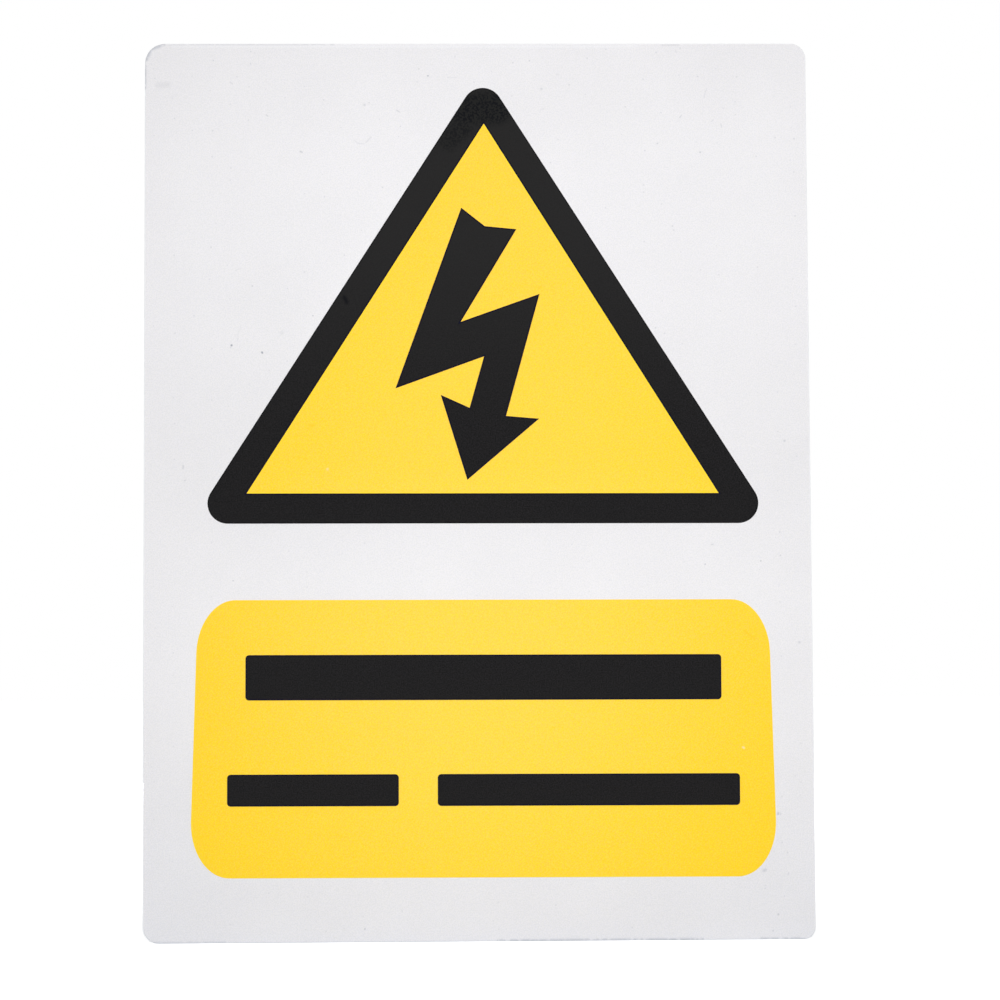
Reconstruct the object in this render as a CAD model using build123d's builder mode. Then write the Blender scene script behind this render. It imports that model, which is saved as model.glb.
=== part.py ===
# Warning sign for an electrical hazard: a flat plastic sheet with its print in black and yellow ink.
# Millimetres. The sign stands upright as it hangs on a wall: X to the right, Z up, and the printed face
# looks towards -Y. The origin is the centre of the back face, which lies against the wall.

from build123d import *
import os

# The sheet
sheet_width = 148.2
sheet_height = 200.0
sheet_thickness = 1.0
corner_upper_left = 4.4
corner_upper_right = 3.4
corner_lower_left = 3.6
corner_lower_right = 2.7
arris_radius = 0.25  # the blade rolls the edge of the printed face over

# The print as a whole
ink_thickness = 0.05
print_shift = 1.2  # the print sits this far to the right of the sheet's middle
print_turn = 0.15  # and this many degrees clockwise off square

# The black triangle, measured to the sharp corners that the rounding cuts off
triangle_top_margin = 6.2
triangle_side_margin = 9.2
border_corner = 4.5

# The yellow triangle inside it stands a little steeper, and its apex leans to the right
field_top_margin = 18.15
field_left_margin = 21.55
field_right_margin = 21.75
field_apex_shift = 0.25
border_foot_width = 6.7

# The lightning bolt inside the triangle
bolt_head_gap = 19.25  # from the top of the bolt to the apex of the yellow field
bolt_foot_gap = 3.2  # from the arrow's tip to the base of the yellow field
bolt_shift = 3.5  # the arrow's tip lies this far left of the print's middle
bolt_spread = 0.12  # the wet ink ran out this far beyond the outline below

# The caption panel, a little wider at its foot than at its top
panel_gap = 16.95  # between the triangle and the panel
panel_height = 61.15
panel_foot_margin = 14.0
panel_side_margin_top = 10.9
panel_side_margin_foot = 9.25
panel_corner_across_top = 8.25
panel_corner_across_foot = 8.85
panel_corner_up_top = 11.7
panel_corner_up_foot = 12.5

# The plain bars on the panel
upper_bar_height = 10.0
upper_bar_top_gap = 12.15  # below the top of the panel
upper_bar_side_margin = 21.45
lower_bar_height = 7.0
lower_bar_foot_gap = 15.7  # above the foot of the panel
lower_bar_side_margin = 17.5
lower_left_bar_length = 37.8
lower_bar_space = 8.6  # between the two lower bars
bar_corner = 0.8

# The bolt's outline, as shares of its height, from the arrow's tip
bolt_outline = [
    (-0.021, 1.0),  # top of the blade, left
    (0.064, 0.933),  # notch in the top
    (0.178, 0.922),  # top of the blade, right
    (-0.029, 0.576),  # inner corner above the crossbar
    (0.263, 0.680),  # right point of the crossbar
    (0.139, 0.230),  # foot of the shaft, right
    (0.258, 0.220),  # right barb of the arrow
    (0.0, 0.0),  # tip of the arrow
    (-0.095, 0.306),  # left barb of the arrow
    (0.009, 0.259),  # foot of the shaft, left
    (0.064, 0.455),  # inner corner below the crossbar
    (-0.261, 0.337),  # left point of the crossbar
]

# A cubic curve follows a quarter round when its handles are this share of the way to the corner
quarter_round_handle = 0.5523

# Places on the face, worked out from the values above
sheet_top = sheet_height / 2
sheet_side = sheet_width / 2
panel_foot = -sheet_top + panel_foot_margin
panel_top = panel_foot + panel_height
triangle_foot = panel_top + panel_gap
triangle_apex = sheet_top - triangle_top_margin
triangle_side = sheet_side - triangle_side_margin
field_foot = triangle_foot + border_foot_width

print_plane = Plane.XZ.offset(sheet_thickness).rotated((0, print_turn, 0))
overprint_plane = print_plane.offset(ink_thickness)  # black ink that lies on yellow ink


# The sheet is cut from flat stock, and each corner came out a little different
with BuildPart() as sign_plate:
    with BuildSketch(Plane.XZ) as sheet_outline:
        Rectangle(sheet_width, sheet_height)
        for side, end, radius in (
            (-1, 1, corner_upper_left),
            (1, 1, corner_upper_right),
            (-1, -1, corner_lower_left),
            (1, -1, corner_lower_right),
        ):
            sharp_corner = (side * sheet_side, end * sheet_top)
            fillet(sheet_outline.vertices().sort_by_distance(sharp_corner)[0], radius)
    extrude(amount=sheet_thickness)
    fillet(sign_plate.faces().sort_by(Axis.Y)[0].edges(), arris_radius)

sign_plate.part.label = "sign_plate"


# The yellow triangle has sharp corners
with BuildSketch(print_plane) as field_outline:
    with BuildLine():
        Polyline(
            (print_shift - sheet_side + field_left_margin, field_foot),
            (print_shift + sheet_side - field_right_margin, field_foot),
            (print_shift + field_apex_shift, sheet_top - field_top_margin),
            close=True,
        )
    make_face()

with BuildPart() as triangle_field:
    extrude(field_outline.sketch, amount=ink_thickness)

triangle_field.part.label = "triangle_field"


# The black border meets the yellow triangle inside and is rounded outside
with BuildPart() as triangle_border:
    with BuildSketch(print_plane) as border_outline:
        with BuildLine():
            Polyline(
                (print_shift - triangle_side, triangle_foot),
                (print_shift + triangle_side, triangle_foot),
                (print_shift, triangle_apex),
                close=True,
            )
        make_face()
        fillet(border_outline.vertices(), border_corner)
        add(field_outline.sketch_local, mode=Mode.SUBTRACT)
    extrude(amount=ink_thickness)

triangle_border.part.label = "triangle_border"


# The bolt is printed over the yellow triangle and grows with it
field_box = field_outline.sketch_local.bounding_box()
bolt_height = field_box.size.Y - bolt_foot_gap - bolt_head_gap

with BuildPart() as bolt_arrow:
    with BuildSketch(overprint_plane):
        with BuildLine(Plane((print_shift - bolt_shift, field_box.min.Y + bolt_foot_gap))):
            Polyline([(x * bolt_height, y * bolt_height) for x, y in bolt_outline], close=True)
        make_face()
        offset(amount=bolt_spread, kind=Kind.INTERSECTION)
    extrude(amount=ink_thickness)

bolt_arrow.part.label = "bolt_arrow"


# The panel has sides that lean out towards its foot, and corners taller than they are wide
panel_side_top = sheet_side - panel_side_margin_top
panel_side_foot = sheet_side - panel_side_margin_foot
panel_corners = [
    Vector(print_shift - panel_side_top, panel_top),
    Vector(print_shift + panel_side_top, panel_top),
    Vector(print_shift + panel_side_foot, panel_foot),
    Vector(print_shift - panel_side_foot, panel_foot),
]


def leave_corner(corner, neighbour):
    """The point where the rounding ends on the edge from a corner to its neighbour."""
    edge = neighbour - corner
    along_side = abs(edge.Y) > abs(edge.X)
    if corner.Y > panel_foot:
        reach = panel_corner_up_top if along_side else panel_corner_across_top
    else:
        reach = panel_corner_up_foot if along_side else panel_corner_across_foot
    return corner + edge.normalized() * reach


with BuildPart() as caption_panel:
    with BuildSketch(print_plane):
        with BuildLine():
            for index, corner in enumerate(panel_corners):
                before = panel_corners[index - 1]
                after = panel_corners[(index + 1) % len(panel_corners)]
                start = leave_corner(corner, before)
                end = leave_corner(corner, after)
                Bezier(
                    start,
                    start + (corner - start) * quarter_round_handle,
                    end + (corner - end) * quarter_round_handle,
                    end,
                )
                Line(end, leave_corner(after, corner))
        make_face()
    extrude(amount=ink_thickness)

caption_panel.part.label = "caption_panel"


# Plain bars on the panel: one long bar above, and two shorter ones in a row below
upper_bar_side = sheet_side - upper_bar_side_margin
upper_bar_foot = panel_top - upper_bar_top_gap - upper_bar_height
lower_bar_side = sheet_side - lower_bar_side_margin
lower_bar_foot = panel_foot + lower_bar_foot_gap
lower_left_bar_end = lower_left_bar_length - lower_bar_side
caption_bars = {
    "caption_bar_upper": (-upper_bar_side, upper_bar_side, upper_bar_foot, upper_bar_height),
    "caption_bar_lower_left": (-lower_bar_side, lower_left_bar_end, lower_bar_foot, lower_bar_height),
    "caption_bar_lower_right": (
        lower_left_bar_end + lower_bar_space,
        lower_bar_side,
        lower_bar_foot,
        lower_bar_height,
    ),
}

bar_parts = []
for bar_name, (left, right, foot, height) in caption_bars.items():
    with BuildPart() as caption_bar:
        with BuildSketch(overprint_plane):
            with Locations((print_shift + (left + right) / 2, foot + height / 2)):
                RectangleRounded(right - left, height, bar_corner)
        extrude(amount=ink_thickness)
    caption_bar.part.label = bar_name
    bar_parts.append(caption_bar.part)


# One file for each piece
os.makedirs("parts", exist_ok=True)
export_step(sign_plate.part, "parts/sign_plate.step")
export_step(triangle_border.part, "parts/triangle_border.step")
export_step(triangle_field.part, "parts/triangle_field.step")
export_step(bolt_arrow.part, "parts/bolt_arrow.step")
export_step(caption_panel.part, "parts/caption_panel.step")
for bar_part in bar_parts:
    export_step(bar_part, f"parts/{bar_part.label}.step")
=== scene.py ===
import math

import bmesh
import bpy
from mathutils import Matrix, Vector


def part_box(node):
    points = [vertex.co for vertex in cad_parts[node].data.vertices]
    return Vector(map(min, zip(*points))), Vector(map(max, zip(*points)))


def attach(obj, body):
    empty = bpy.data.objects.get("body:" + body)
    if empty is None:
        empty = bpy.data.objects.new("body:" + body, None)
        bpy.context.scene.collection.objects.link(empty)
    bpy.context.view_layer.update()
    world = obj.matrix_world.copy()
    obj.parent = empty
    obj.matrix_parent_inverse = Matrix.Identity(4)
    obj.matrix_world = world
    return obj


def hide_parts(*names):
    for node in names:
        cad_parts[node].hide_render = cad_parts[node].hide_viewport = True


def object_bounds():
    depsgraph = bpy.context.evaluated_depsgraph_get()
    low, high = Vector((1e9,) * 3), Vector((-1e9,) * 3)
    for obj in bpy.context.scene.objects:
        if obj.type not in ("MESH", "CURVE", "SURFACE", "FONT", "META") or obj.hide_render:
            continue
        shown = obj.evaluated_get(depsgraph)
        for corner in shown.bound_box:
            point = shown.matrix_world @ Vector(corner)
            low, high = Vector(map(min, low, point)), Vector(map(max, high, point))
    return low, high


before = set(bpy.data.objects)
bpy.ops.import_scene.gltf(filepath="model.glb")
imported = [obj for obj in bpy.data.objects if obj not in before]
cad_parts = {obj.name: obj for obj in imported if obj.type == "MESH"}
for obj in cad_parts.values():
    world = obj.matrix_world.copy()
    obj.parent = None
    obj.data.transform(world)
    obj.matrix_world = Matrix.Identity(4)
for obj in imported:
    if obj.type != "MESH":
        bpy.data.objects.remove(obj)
cad_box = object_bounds()


# The camera stands a little over 60 cm in front of the sign, slightly left of its middle and below it,
# and is tipped a few degrees up. The long lens keeps the sides of the sheet nearly parallel.
mm = 0.001  # sizes on the sign are in millimetres, those of the studio in metres
camera_place = Vector((-8.1, -616.8, -42.7)) * mm
camera_yaw = math.radians(-1.207)
camera_pitch = math.radians(3.714)
camera_roll = math.radians(-0.297)

camera_data = bpy.data.cameras.new("camera")
camera_data.lens = 100
camera_data.sensor_width = 36
camera = bpy.data.objects.new("camera", camera_data)
bpy.context.scene.collection.objects.link(camera)
camera.matrix_world = (
    Matrix.Translation(camera_place)
    @ Matrix.Rotation(camera_yaw, 4, "Z")
    @ Matrix.Rotation(math.pi / 2 + camera_pitch, 4, "X")
    @ Matrix.Rotation(camera_roll, 4, "Z")
)
bpy.context.scene.camera = camera


# The sheet is white rigid plastic with a fine matt grain, cut from flat stock with rounded corners. The
# blade rolled its front edge over, the edge carries patches of painted grey shade, and the face has
# picked up a few marks.
def add_node(tree, kind, inputs, **settings):
    """A node of that kind, each of its inputs a plain value or another node's socket."""
    made = tree.nodes.new("ShaderNode" + kind)
    for setting, value in settings.items():
        setattr(made, setting, value)
    for socket, value in inputs.items():
        if isinstance(value, bpy.types.NodeSocket):
            tree.links.new(value, made.inputs[socket])
        else:
            made.inputs[socket].default_value = value
    return made


class Finish:
    """A procedural material. Its lengths are in millimetres on the sign, and its methods give sockets."""

    # Random tones run from 0 to 1, but seldom leave these limits
    low_tone = 0.3
    high_tone = 0.7

    def __init__(self, name, specular):
        self.material = bpy.data.materials.new(name)
        self.material.use_nodes = True
        self.tree = self.material.node_tree
        self.shader = self.tree.nodes["Principled BSDF"]
        self.shader.inputs["Specular IOR Level"].default_value = specular
        coordinates = self.node("TexCoord", {})
        self.place = self.vector("SCALE", {0: coordinates.outputs["Object"], 3: 1 / mm})
        parts = self.node("SeparateXYZ", {0: self.place})
        self.up = parts.outputs[2]
        self.flat = self.node("CombineXYZ", {0: parts.outputs[0], 1: self.up}).outputs[0]
        normal = self.node("SeparateXYZ", {0: coordinates.outputs["Normal"]})
        # Frontness is 1 on the face, falls to 0 over the rolled edge, and is -1 on the back
        self.frontness = self.calculate("MULTIPLY", normal.outputs[1], -1.0)

    def node(self, kind, inputs, **settings):
        return add_node(self.tree, kind, inputs, **settings)

    def calculate(self, operation, *values):
        return self.node("Math", dict(enumerate(values)), operation=operation).outputs[0]

    def vector(self, operation, inputs):
        return self.node("VectorMath", inputs, operation=operation).outputs[0]

    def rise(self, value, low, high):
        """A soft step from 0 at low to 1 at high. With low above high it falls instead."""
        limits = {"Value": value, "From Min": low, "From Max": high}
        return self.node("MapRange", limits, interpolation_type="SMOOTHSTEP").outputs[0]

    def between(self, share, low, high):
        """The value that lies that share of the way from low to high."""
        return self.calculate("MULTIPLY_ADD", share, high - low, low)

    def blend(self, share, first, second):
        """The first colour where the share is 0, and the second where it is 1."""
        return self.node("Mix", {0: share, 6: first, 7: second}, data_type="RGBA").outputs[2]

    def noise(self, grain, detail=2.0):
        """A random tone from 0 to 1, in patches about as wide as the grain."""
        inputs = {"Vector": self.place, "Scale": 1 / grain, "Detail": detail}
        return self.node("TexNoise", inputs).outputs[0]

    def mottle(self, colour, grain, low, high):
        """The colour, with its red, green and blue each scaled at random, by factors from low to high."""
        inputs = {"Vector": self.place, "Scale": 1 / grain, "Detail": 1.0}
        chances = self.node("TexNoise", inputs).outputs["Color"]
        limits = {6: chances, 7: (self.low_tone,) * 3, 8: (self.high_tone,) * 3, 9: low, 10: high}
        factors = self.node("MapRange", limits, data_type="FLOAT_VECTOR").outputs[1]
        return self.vector("MULTIPLY", {0: colour, 1: factors})

    def distance(self, start, end):
        """How far each place on the face is from the line between two others, given as across and up."""
        run = Vector((end[0] - start[0], end[1] - start[1], 0))
        away = self.vector("SUBTRACT", {0: self.flat, 1: (start[0], start[1], 0)})
        if run.length > 0:
            inputs = {0: away, 1: run / run.length_squared}
            share = self.node("VectorMath", inputs, operation="DOT_PRODUCT").outputs["Value"]
            share = self.calculate("MINIMUM", self.calculate("MAXIMUM", share, 0.0), 1.0)
            away = self.vector("SUBTRACT", {0: away, 1: self.vector("SCALE", {0: run, 3: share})})
        return self.node("VectorMath", {0: away}, operation="LENGTH").outputs["Value"]

    def strokes(self, marks):
        """The strongest soft stroke at each place. A mark is its start, end, width and strength."""
        strongest = None
        for start, end, width, strength in marks:
            stroke = self.rise(self.distance(start, end), width, 0.0)
            stroke = self.calculate("MULTIPLY", stroke, strength)
            strongest = self.calculate("MAXIMUM", strongest, stroke) if strongest else stroke
        return strongest

    def surface(self, colour, grain, smoothest, roughest, depth):
        """Gives the shader its colour, a roughness that follows the grain, and the grain's relief."""
        self.tree.links.new(colour, self.shader.inputs["Base Color"])
        self.tree.links.new(self.between(grain, smoothest, roughest), self.shader.inputs["Roughness"])
        relief = self.node("Bump", {"Height": grain, "Distance": depth * mm})
        self.tree.links.new(relief.outputs[0], self.shader.inputs["Normal"])


sheet_light = (0.847, 0.82, 0.824, 1)
sheet_dark = (0.761, 0.735, 0.744, 1)
sheet_mottle = ((0.993, 0.993, 0.983), (1.007, 1.007, 1.017))
sheet_grain = 0.26
cloud_width = 30.0
grain_share = 0.75

plastic = Finish("matt_white_plastic", specular=0.4)
grain = plastic.noise(sheet_grain)
cloud = plastic.noise(cloud_width)
tone = plastic.calculate("MULTIPLY", grain, grain_share)
tone = plastic.calculate("MULTIPLY_ADD", cloud, 1 - grain_share, tone)
colour = plastic.blend(plastic.rise(tone, plastic.low_tone, plastic.high_tone), sheet_dark, sheet_light)
colour = plastic.mottle(colour, sheet_grain, *sheet_mottle)

# The face is painted a shade greyer in a soft band across its middle, and a little paler or greyer in a
# few places: painted shade and painted light where the light on it falls unevenly. A shade has its start,
# its end, how far it reaches, how far it is full, and its change.
sheet_painted_shades = [
    ((-100.0, 9.0), (100.0, 9.0), 40.0, 5.0, -0.05),
    ((-20.0, -19.0), (30.0, -19.0), 18.0, 0.0, 0.012),
    ((-58.0, -21.0), (-44.0, -21.0), 16.0, 0.0, 0.017),
    ((52.0, -8.0), (72.0, -5.0), 14.0, 0.0, 0.013),
    ((-36.0, 74.0), (-20.0, 80.0), 18.0, 0.0, 0.028),
    ((10.0, 84.0), (32.0, 82.0), 14.0, 0.0, -0.013),
    ((-50.0, 44.0), (-45.0, 42.0), 14.0, 0.0, -0.024),
    ((-25.0, -90.0), (12.0, -90.0), 22.0, 0.0, 0.012),
    ((46.0, -90.0), (70.0, -92.0), 14.0, 0.0, -0.012),
    ((-62.0, -90.0), (-36.0, -90.0), 14.0, 0.0, -0.01),
]
lightness = 1.0
for start, end, far, near, change in sheet_painted_shades:
    reach = plastic.rise(plastic.distance(start, end), far, near)
    lightness = plastic.calculate("MULTIPLY_ADD", reach, change, lightness)
colour = plastic.vector("SCALE", {0: colour, 3: lightness})

# It is also a little cooler towards its foot, a painted cool cast of the light there
no_shift = (1.0, 1.0, 1.0, 1)
sheet_foot_painted_cool_light = (0.992, 1.0, 1.016, 1)
sheet_foot_starts = -50.0
sheet_foot_full = -92.0
towards_foot = plastic.rise(plastic.up, sheet_foot_starts, sheet_foot_full)
shift = plastic.blend(towards_foot, no_shift, sheet_foot_painted_cool_light)
colour = plastic.vector("MULTIPLY", {0: colour, 1: shift})

# Fine specks lie where chance puts them, at most one to a cell, and they show most on the upper half
cell_width = 4.2
speck_smallest = -0.21  # a cell whose speck would be smaller than nothing stays clean
speck_largest = 0.19
speck_edge = 0.1
speck_faintest = 0.14
speck_strongest = 0.22
upper_half_full = 60.0
spacing = {"Vector": plastic.flat, "Scale": 1 / cell_width}
cells = plastic.node("TexVoronoi", spacing, voronoi_dimensions="2D")
chance = plastic.node("SeparateColor", {0: cells.outputs["Color"]}).outputs[0]
reach = plastic.calculate("MULTIPLY", cells.outputs["Distance"], cell_width)
size = plastic.between(chance, speck_smallest, speck_largest)
specks = plastic.rise(plastic.calculate("SUBTRACT", reach, size), speck_edge, -speck_edge)
upper_half = plastic.rise(plastic.up, 0.0, upper_half_full)
strength = plastic.between(upper_half, speck_faintest, speck_strongest)
specks = plastic.calculate("MULTIPLY", specks, strength)

# The darker specks, each with its place and strength
dirt = (0.24, 0.25, 0.3, 1)
dark_speck_width = 0.3
dark_specks = [
    ((-10.8, 92.7), 0.7),
    ((12.0, 96.1), 0.38),
    ((40.5, 98.0), 0.3),
    ((49.8, 92.5), 0.34),
    ((37.5, 91.9), 0.25),
    ((55.5, 85.3), 0.22),
    ((40.6, 77.3), 0.4),
    ((50.2, 75.3), 0.5),
    ((-24.0, 86.6), 0.3),
    ((-53.6, 92.5), 0.22),
    ((-49.6, 97.9), 0.18),
    ((-59.3, 54.0), 0.34),
    ((-50.1, 45.3), 0.4),
    ((-36.6, 38.6), 0.45),
    ((43.8, 58.6), 0.34),
    ((44.1, 57.7), 0.3),
    ((39.8, 35.7), 0.3),
    ((-65.0, 1.9), 0.34),
    ((-54.3, -20.4), 0.34),
    ((50.4, -17.2), 0.5),
    ((62.8, -16.5), 0.48),
    ((67.2, -15.3), 0.36),
    ((67.1, -10.1), 0.3),
    ((68.0, -81.0), 0.26),
    ((64.6, -98.1), 0.38),
    ((-25.3, -97.1), 0.48),
    ((-38.5, 48.4), 0.24),
    ((-58.2, 59.4), 0.2),
    ((66.8, -78.7), 0.22),
    ((69.9, -64.1), 0.16),
    ((-17.0, 66.7), 0.22),
    ((18.3, 78.2), 0.18),
]

# Larger spots, hairs and dashes, each with its start, end, width and strength
sheet_marks = [
    ((-54.7, 32.0), (-54.7, 32.0), 0.4, 0.95),
    ((-54.9, 31.6), (-54.95, 31.5), 0.3, 0.25),
    ((-47.95, 30.45), (-47.87, 30.3), 0.34, 0.95),
    ((66.05, -72.3), (66.0, -72.5), 0.42, 0.42),
    ((66.5, -72.4), (66.55, -72.6), 0.36, 0.2),
    ((62.75, -84.9), (63.05, -84.75), 0.62, 0.29),
    ((-71.1, 90.6), (-69.0, 90.7), 1.15, 0.12),
    ((-43.6, 34.7), (-43.6, 34.7), 0.8, 0.12),
    ((-25.0, 86.1), (-25.0, 86.1), 0.5, 0.27),
    ((68.4, 10.3), (68.4, 10.3), 0.45, 0.33),
    ((71.2, -34.6), (71.2, -34.6), 0.5, 0.27),
    ((65.8, -94.5), (65.8, -94.5), 0.4, 0.36),
    ((14.8, 89.7), (14.5, 89.7), 0.35, 0.24),
    ((-65.4, 5.2), (-65.4, 4.6), 0.35, 0.27),
    ((52.2, -12.8), (51.8, -12.8), 0.3, 0.24),
    ((-39.0, 75.4), (-39.4, 75.6), 0.3, 0.35),
    ((-55.1, 91.3), (-54.6, 90.9), 0.3, 0.18),
    ((-47.0, 83.9), (-46.7, 83.6), 0.25, 0.26),
    ((-17.8, 84.9), (-17.2, 84.5), 0.25, 0.26),
    ((51.8, 89.8), (51.3, 88.3), 0.22, 0.14),
    ((51.3, 88.3), (51.2, 87.6), 0.22, 0.17),
    ((45.7, 83.2), (46.1, 83.7), 0.22, 0.26),
    ((52.8, 82.3), (53.3, 82.7), 0.22, 0.18),
    ((54.9, 81.8), (55.1, 81.0), 0.24, 0.2),
    ((-27.3, 78.1), (-26.6, 77.4), 0.25, 0.14),
    ((-26.6, 77.4), (-25.2, 77.3), 0.25, 0.14),
    ((-24.7, 77.6), (-23.6, 78.8), 0.25, 0.18),
    ((44.9, 98.3), (45.1, 98.0), 0.3, 0.14),
    ((68.15, -85.4), (68.05, -85.9), 0.24, 0.2),
    ((-6.4, 92.3), (-4.4, 92.3), 0.22, 0.1),
    ((18.0, 92.9), (18.6, 93.0), 0.25, 0.14),
    ((14.5, 85.0), (15.1, 85.2), 0.34, 0.12),
    ((-52.7, 36.1), (-53.3, 34.5), 0.22, 0.08),
    ((-53.3, 34.5), (-53.4, 32.9), 0.22, 0.1),
    ((-53.8, 48.8), (-52.7, 49.3), 0.22, 0.12),
    ((41.9, 99.75), (45.5, 99.75), 0.55, 0.17),
]
sheet_marks += [(place, place, dark_speck_width, share) for place, share in dark_specks]
marks = plastic.calculate("MAXIMUM", specks, plastic.strokes(sheet_marks))
marks = plastic.calculate("MULTIPLY", marks, plastic.rise(plastic.frontness, 0.3, 0.5))
colour = plastic.blend(marks, colour, dirt)

# The cut and rolled-over edge is painted paler, painted light where it turns away from the lamps, and a
# faint painted highlight runs in a band along the top of the face
sheet_cut_painted_light = (0.93, 0.93, 0.945, 1)
sheet_rolled_painted_light = (0.985, 0.98, 0.99, 1)
cut_painted_light_share = 0.8
rolled_lowest = -98.0  # the rolled edge along the foot is no paler
painted_highlight_band = plastic.strokes([((-68.0, 99.4), (36.0, 99.4), 0.7, 0.2)])
cut_painted_light = plastic.calculate("MULTIPLY", plastic.rise(plastic.frontness, 0.985, 0.8), cut_painted_light_share)
colour = plastic.blend(plastic.calculate("MAXIMUM", painted_highlight_band, cut_painted_light), colour, sheet_cut_painted_light)
rolled_painted_light = plastic.calculate(
    "MULTIPLY",
    plastic.rise(plastic.frontness, 1.0, 0.93),
    plastic.rise(plastic.frontness, 0.2, 0.5),
)
above_foot = plastic.rise(plastic.up, rolled_lowest, rolled_lowest + 1.0)
colour = plastic.blend(plastic.calculate("MULTIPLY", rolled_painted_light, above_foot), colour, sheet_rolled_painted_light)

# Stretches of the edge are painted grey and patchy, painted shade where the edge turns away from the
# light, each with its start, end, width and strength
sheet_edge_painted_shade = (0.56, 0.565, 0.6, 1)
patch_width = 1.5
patch_limits = (0.28, 0.52)
painted_edge_shades = [
    ((-69.7, 99.9), (-32.0, 99.9), 0.55, 0.3),
    ((-69.7, 99.9), (-72.8, 98.8), 0.7, 0.9),
    ((-72.8, 98.8), (-74.1, 95.6), 0.7, 0.9),
    ((-74.1, 95.6), (-74.1, 90.0), 0.6, 0.75),
    ((4.0, -99.8), (49.0, -99.8), 0.55, 0.75),
    ((62.0, -99.8), (71.5, -99.8), 0.55, 0.65),
    ((-72.0, -99.8), (-56.0, -99.8), 0.5, 0.4),
]
patches = plastic.rise(plastic.noise(patch_width), *patch_limits)
edge_painted_shade = plastic.calculate("MULTIPLY", plastic.strokes(painted_edge_shades), patches)
edge_painted_shade = plastic.calculate("MULTIPLY", edge_painted_shade, plastic.rise(plastic.frontness, -0.3, 0.3))
colour = plastic.blend(edge_painted_shade, colour, sheet_edge_painted_shade)

# The back keeps the faint lines of the extruded sheet, and cloudy scuffs from the stack it lay in
line_scale = (0.6, 0.0, 0.008)
scuff_width = 14.0
back_contrast = 0.12
backness = plastic.rise(plastic.frontness, -0.5, -0.8)
drawn_out = plastic.vector("MULTIPLY", {0: plastic.place, 1: line_scale})
lines = plastic.node("TexNoise", {"Vector": drawn_out, "Scale": 1.0, "Detail": 3.0}).outputs[0]
scuffs = plastic.calculate("ADD", lines, plastic.noise(scuff_width, detail=5.0))
scuffs = plastic.calculate("MULTIPLY", plastic.calculate("SUBTRACT", scuffs, 1.0), backness)
lightness = plastic.calculate("MULTIPLY_ADD", scuffs, back_contrast, 1.0)
colour = plastic.vector("SCALE", {0: colour, 3: lightness})

plastic.surface(colour, grain, smoothest=0.42, roughest=0.62, depth=0.008)
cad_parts["sign_plate"].data.materials.clear()
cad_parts["sign_plate"].data.materials.append(plastic.material)


# The yellow triangle is matt screen ink, laid straight on the plastic. It is finely mottled, painted
# palest down the middle of the sign where the light is brightest, painted deeper with shade away from
# there, and a little more lemon along its outline.
edge_round = 0.02
round_middle = 0.3 * edge_round
rim_width = 0.4
weld_distance = 0.001
facing = Vector((0, -1, 0))
squarely = 0.99


def ink_outlines(node):
    """The closed outlines of a field of print, seen from the front, each with the ink on its left."""
    solid = bmesh.new()
    solid.from_mesh(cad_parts[node].data)
    bmesh.ops.remove_doubles(solid, verts=solid.verts, dist=weld_distance * mm)
    bmesh.ops.recalc_face_normals(solid, faces=solid.faces)
    onward = {}
    for face in solid.faces:
        for corner in face.loops:
            beside = corner.link_loop_radial_next.face
            if face.normal.dot(facing) > squarely > beside.normal.dot(facing):
                onward[corner.vert] = corner.link_loop_next.vert
    outlines = []
    while onward:
        start, corner = onward.popitem()
        outline = [start.co.copy()]
        while corner != start:
            outline.append(corner.co.copy())
            corner = onward.pop(corner)
        outlines.append(outline)
    solid.free()
    return outlines


def ink_film(name, node, finish, outer_rim=1.0):
    """A field of print as a film with a rounded edge. Its rim value is highest along its outlines."""
    low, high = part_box(node)
    film = bmesh.new()
    rim = film.verts.layers.float.new("rim")
    back_edges = []
    front_edges = []
    for outline in ink_outlines(node):
        following = outline[1:] + outline[:1]
        area = sum(here.x * after.z - after.x * here.z for here, after in zip(outline, following))
        strength = outer_rim if area > 0 else 1.0
        shifts = []
        for index, here in enumerate(outline):
            arriving = facing.cross(here - outline[index - 1]).normalized()
            leaving = facing.cross(following[index] - here).normalized()
            shifts.append((arriving + leaving) / (1 + arriving.dot(leaving)) * mm)
        rings = []
        for inset, depth, rim_value in (
            (0, (high[1] - low[1]) / mm, strength),
            (0, edge_round, strength),
            (round_middle, round_middle, strength),
            (edge_round, 0, strength),
            (rim_width / 2, 0, strength),
            (rim_width, 0, 0),
        ):
            ring = []
            for here, shift in zip(outline, shifts):
                corner = film.verts.new(here + shift * inset - facing * depth * mm)
                corner[rim] = rim_value
                ring.append(corner)
            rings.append(ring)
        for outer, inner in zip(rings, rings[1:]):
            for index in range(len(outline)):
                film.faces.new((outer[index - 1], outer[index], inner[index], inner[index - 1]))
        for ring, edges in ((rings[0], back_edges), (rings[-1], front_edges)):
            edges += [film.edges.get((ring[index - 1], corner)) for index, corner in enumerate(ring)]
    bmesh.ops.triangle_fill(film, edges=back_edges, normal=-facing)
    bmesh.ops.triangle_fill(film, edges=front_edges, normal=facing)
    bmesh.ops.recalc_face_normals(film, faces=film.faces)

    mesh = bpy.data.meshes.new(name)
    film.to_mesh(mesh)
    film.free()
    mesh.materials.append(finish)
    piece = bpy.data.objects.new(name, mesh)
    bpy.context.scene.collection.objects.link(piece)
    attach(piece, "root")
    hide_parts(node)


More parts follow.
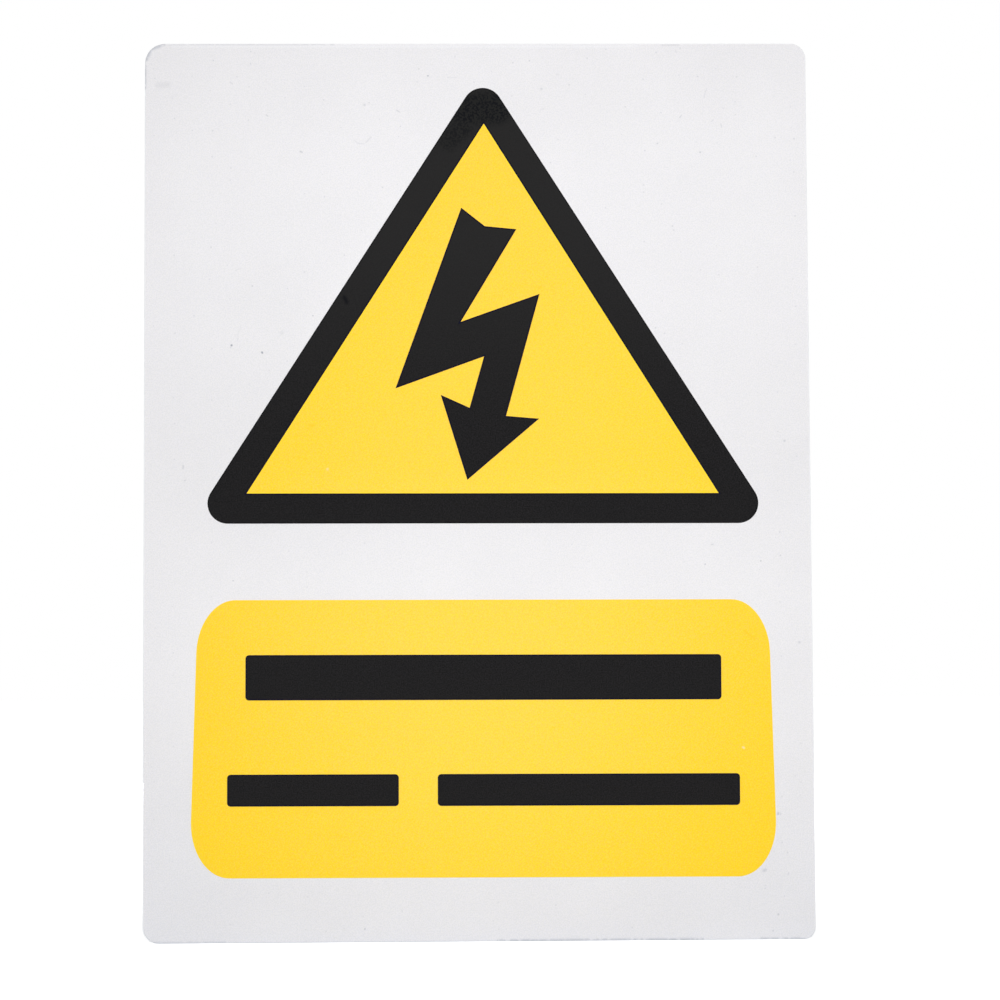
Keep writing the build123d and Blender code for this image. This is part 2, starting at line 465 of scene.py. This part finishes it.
yellow_upper = (1.0, 0.626, 0.053, 1)
yellow_lower = (1.0, 0.651, 0.066, 1)
yellow_painted_shade = (1.0, 0.618, 0.024, 1)
yellow_rim = (1.0, 0.7, 0.018, 1)
yellow_stain = (0.97, 0.54, 0.012, 1)
yellow_mottle = ((1.0, 0.91, 0.45), (1.0, 1.09, 1.55))
yellow_outer_mottle = ((1.0, 1.0, 0.6), (1.0, 1.0, 1.4))
yellow_grain = 0.27
yellow_relief_grain = 0.4
yellow_rim_share = 0.6

# The upper tone passes into the lower one round the middle of the sheet, and the painted light is
# brightest along a line down the sign, a little to the right of its middle
tones_meet = (-8.0, 8.0)
painted_light_line = ((6.0, 60.0), (0.0, -40.0))
painted_light_near = 10.0
painted_light_far = 85.0
yellow_foot_shift = (1.0, 1.053, 0.93, 1)
yellow_foot_starts = -25.0
yellow_foot_full = -90.0

# Stained and bald spots, each with its start, end, width and strength
yellow_stains = [
    ((-36.9, 14.0), (-36.9, 14.0), 0.8, 0.5),
    ((13.7, 44.7), (14.1, 44.9), 0.6, 0.45),
    ((15.4, 53.2), (15.4, 53.2), 0.5, 0.4),
    ((58.9, -31.9), (61.3, -33.9), 0.35, 0.5),
]
yellow_bald = [
    ((-33.4, 4.3), (-33.4, 4.3), 0.5, 0.3),
    ((58.4, -57.75), (58.6, -57.9), 0.42, 0.42),
]

yellow = Finish("matt_yellow_ink", specular=0.35)
colour = yellow.blend(yellow.rise(yellow.up, *tones_meet), yellow_lower, yellow_upper)
# Painted light and shade: the yellow is palest along the line and deeper away from it
outer = yellow.rise(yellow.distance(*painted_light_line), painted_light_near, painted_light_far)
colour = yellow.blend(outer, colour, yellow_painted_shade)
towards_foot = yellow.rise(yellow.up, yellow_foot_starts, yellow_foot_full)
shift = yellow.blend(towards_foot, no_shift, yellow_foot_shift)
colour = yellow.vector("MULTIPLY", {0: colour, 1: shift})
colour = yellow.mottle(colour, yellow_grain, *yellow_mottle)
colour = yellow.blend(outer, colour, yellow.mottle(colour, yellow_grain, *yellow_outer_mottle))
colour = yellow.blend(yellow.strokes(yellow_stains), colour, yellow_stain)
colour = yellow.blend(yellow.strokes(yellow_bald), colour, sheet_light)
rim = yellow.node("Attribute", {}, attribute_name="rim").outputs["Fac"]
colour = yellow.blend(yellow.calculate("MULTIPLY", rim, yellow_rim_share), colour, yellow_rim)
relief = yellow.noise(yellow_relief_grain)
yellow.surface(colour, relief, smoothest=0.45, roughest=0.65, depth=0.01)
ink_film("yellow_triangle", "triangle_field", yellow.material)


# The border is black screen ink round the yellow, rounded at its three outer corners. It is painted a
# little greyer towards the top, a painted sheen, and across the apex it is painted darker with speckle, a
# painted reflection of the light in the grain of the plastic.
black_dark = (0.0003, 0.0002, 0.0006, 1)
black_light = (0.0128, 0.012, 0.0126, 1)
black_painted_sheen = (0.0172, 0.0165, 0.0162, 1)
black_apex_painted_reflection = (0.0075, 0.008, 0.0072, 1)
black_reflection_speckle_and_blot = (0.001, 0.0012, 0.0025, 1)
black_edge = (0.001, 0.001, 0.0015, 1)
black_over_yellow = (0.0002, 0.001, 0.016, 1)
black_grain = 0.27
black_tones = (0.25, 0.75)
painted_sheen_heights = (5.0, 65.0)
painted_sheen_share = 0.6

black = Finish("satin_black_ink", specular=0.12)
fine = black.noise(black_grain)
colour = black.blend(black.rise(fine, *black_tones), black_dark, black_light)
# Painted sheen: the ink greys towards the top
painted_sheen = black.calculate("MULTIPLY", black.rise(black.up, *painted_sheen_heights), painted_sheen_share)
colour = black.blend(painted_sheen, colour, black_painted_sheen)

# The painted speckle, a painted reflection of the light in the grain, is densest over the apex and thins
# out down the left side
apex_line = ((-2.5, 85.0), (4.5, 85.5))
apex_far = 5.0
apex_near = 2.0
left_line = ((-3.0, 81.0), (-6.2, 78.0))
left_far = 3.4
left_near = 0.8
left_share = 0.7
apex_share = 0.65
dot_width = 0.4
dot_limits = (0.52, 0.46)
over_apex = black.rise(black.distance(*apex_line), apex_far, apex_near)
down_left = black.rise(black.distance(*left_line), left_far, left_near)
apex = black.calculate("MAXIMUM", over_apex, black.calculate("MULTIPLY", down_left, left_share))
colour = black.blend(black.calculate("MULTIPLY", apex, apex_share), colour, black_apex_painted_reflection)
dots = black.rise(black.noise(dot_width), *dot_limits)
reflection_speckle = black.calculate("MULTIPLY", dots, apex)
# The blot is a real dark mark in the border, in the same colour as the painted speckle
blot = black.strokes([((-29.6, 42.7), (-29.1, 41.6), 0.8, 1.0)])
colour = black.blend(black.calculate("MAXIMUM", reflection_speckle, blot), colour, black_reflection_speckle_and_blot)

# The ink is denser along its outlines, and shows navy where it meets the yellow. The border's outer rim
# lies on the white plastic and stays plain black.
plain_rim = 0.6
rim = black.node("Attribute", {}, attribute_name="rim").outputs["Fac"]
colour = black.blend(rim, colour, black_edge)
colour = black.blend(black.rise(rim, plain_rim, 1.0), colour, black_over_yellow)
black.surface(colour, fine, smoothest=0.38, roughest=0.58, depth=0.006)
ink_film("black_border", "triangle_border", black.material, outer_rim=plain_rim)


# The lightning bolt with its arrow point is printed over the yellow in the same black.
ink_film("lightning_bolt", "bolt_arrow", black.material)


# The panel is one more field of the yellow, with corners taller than they are wide, printed with the
# yellow triangle from the same screen.
ink_film("yellow_panel", "caption_panel", yellow.material, outer_rim=0.5)


# Plain black bars stand on the panel, one long one above and two shorter ones below, printed over the
# yellow with the border and the bolt.
for bar in ("caption_bar_upper", "caption_bar_lower_left", "caption_bar_lower_right"):
    ink_film("black_" + bar.removeprefix("caption_"), bar, black.material)


# The studio: a pale floor under the sign that runs out to a white background, a soft lamp close in front
# of the sign, and a larger one farther behind it.
def white_for_camera(tree):
    """1 for the camera and for mirror-like rays, which see the studio as pure white, and else 0."""
    rays = add_node(tree, "LightPath", {})
    seen = rays.outputs["Is Camera Ray"]
    for kind in ("Is Glossy Ray", "Is Transmission Ray"):
        seen = add_node(tree, "Math", {0: seen, 1: rays.outputs[kind]}, operation="MAXIMUM").outputs[0]
    return seen


room_light = 0.425

world = bpy.data.worlds.new("studio")
world.use_nodes = True
bpy.context.scene.world = world
sky = world.node_tree.nodes["Background"]
sky.inputs["Color"].default_value = (1, 1, 1, 1)
limits = {"Value": white_for_camera(world.node_tree), "To Min": room_light, "To Max": 1.0}
strength = add_node(world.node_tree, "MapRange", limits)
world.node_tree.links.new(strength.outputs[0], sky.inputs["Strength"])

# The floor glows white for the camera, and less so in a patch just behind the sheet, a painted shadow
# inside which its real soft shadow shows
floor_pale = (0.85, 0.85, 0.85, 1)
floor_tint = (0.49, 0.56, 0.61, 1)
floor_radius = 8
glow = 0.67
glow_in_painted_shadow = 0.2
shadow_half_width = 0.16
shadow_depth = 0.11

floor_data = bpy.data.meshes.new("floor")
floor_mesh = bmesh.new()
bmesh.ops.create_circle(floor_mesh, cap_ends=True, segments=96, radius=floor_radius)
floor_mesh.to_mesh(floor_data)
floor_mesh.free()
floor = bpy.data.objects.new("floor", floor_data)
floor.location.z = cad_box[0].z
bpy.context.scene.collection.objects.link(floor)
floor_finish = bpy.data.materials.new("pale_floor")
floor_finish.use_nodes = True
floor_tree = floor_finish.node_tree
floor_shader = floor_tree.nodes["Principled BSDF"]
floor_shader.inputs["Roughness"].default_value = 1
floor_shader.inputs["Specular IOR Level"].default_value = 0
floor_shader.inputs["Emission Color"].default_value = (1, 1, 1, 1)

seen = white_for_camera(floor_tree)
tint = add_node(floor_tree, "Mix", {0: seen, 6: floor_tint, 7: floor_pale}, data_type="RGBA")
floor_tree.links.new(tint.outputs[2], floor_shader.inputs["Base Color"])

# How far a place on the floor is from the sheet, as a share of the painted shadow's reach. In front of
# the sheet one more is added, so that the painted shadow lies behind it only.
floor_place = add_node(floor_tree, "TexCoord", {}).outputs["Object"]
shares = {0: floor_place, 1: (shadow_half_width, shadow_depth, 1)}
shares = add_node(floor_tree, "VectorMath", shares, operation="DIVIDE").outputs[0]
away = add_node(floor_tree, "VectorMath", {0: shares}, operation="LENGTH").outputs["Value"]
backward = add_node(floor_tree, "SeparateXYZ", {0: floor_place}).outputs[1]
in_front = add_node(floor_tree, "Math", {0: backward, 1: 0.0}, operation="LESS_THAN").outputs[0]
unshaded = add_node(floor_tree, "Math", {0: away, 1: in_front}, operation="ADD").outputs[0]
limits = {"Value": unshaded, "To Min": glow_in_painted_shadow, "To Max": glow}
glow_with_painted_shadow = add_node(floor_tree, "MapRange", limits).outputs[0]
shown_glow = add_node(floor_tree, "Math", {0: seen, 1: glow_with_painted_shadow}, operation="MULTIPLY").outputs[0]
floor_tree.links.new(shown_glow, floor_shader.inputs["Emission Strength"])
floor_data.materials.append(floor_finish)

for name, place, aim, size, power in (
    ("key_lamp", (0.016, -0.38, 0.033), (0.016, 0, 0.033), 0.15, 1.06),
    ("back_lamp", (-0.3, 0.9, 0.15), (0, 0, 0), 0.5, 5.5),
):
    lamp_data = bpy.data.lights.new(name, "AREA")
    lamp_data.size = size
    lamp_data.energy = power
    lamp = bpy.data.objects.new(name, lamp_data)
    lamp.location = place
    lamp.rotation_mode = "QUATERNION"
    lamp.rotation_quaternion = (Vector(aim) - Vector(place)).to_track_quat("-Z", "Y")
    lamp.visible_camera = False
    lamp.visible_glossy = False
    bpy.context.scene.collection.objects.link(lamp)

bpy.context.scene.view_settings.view_transform = "Standard"
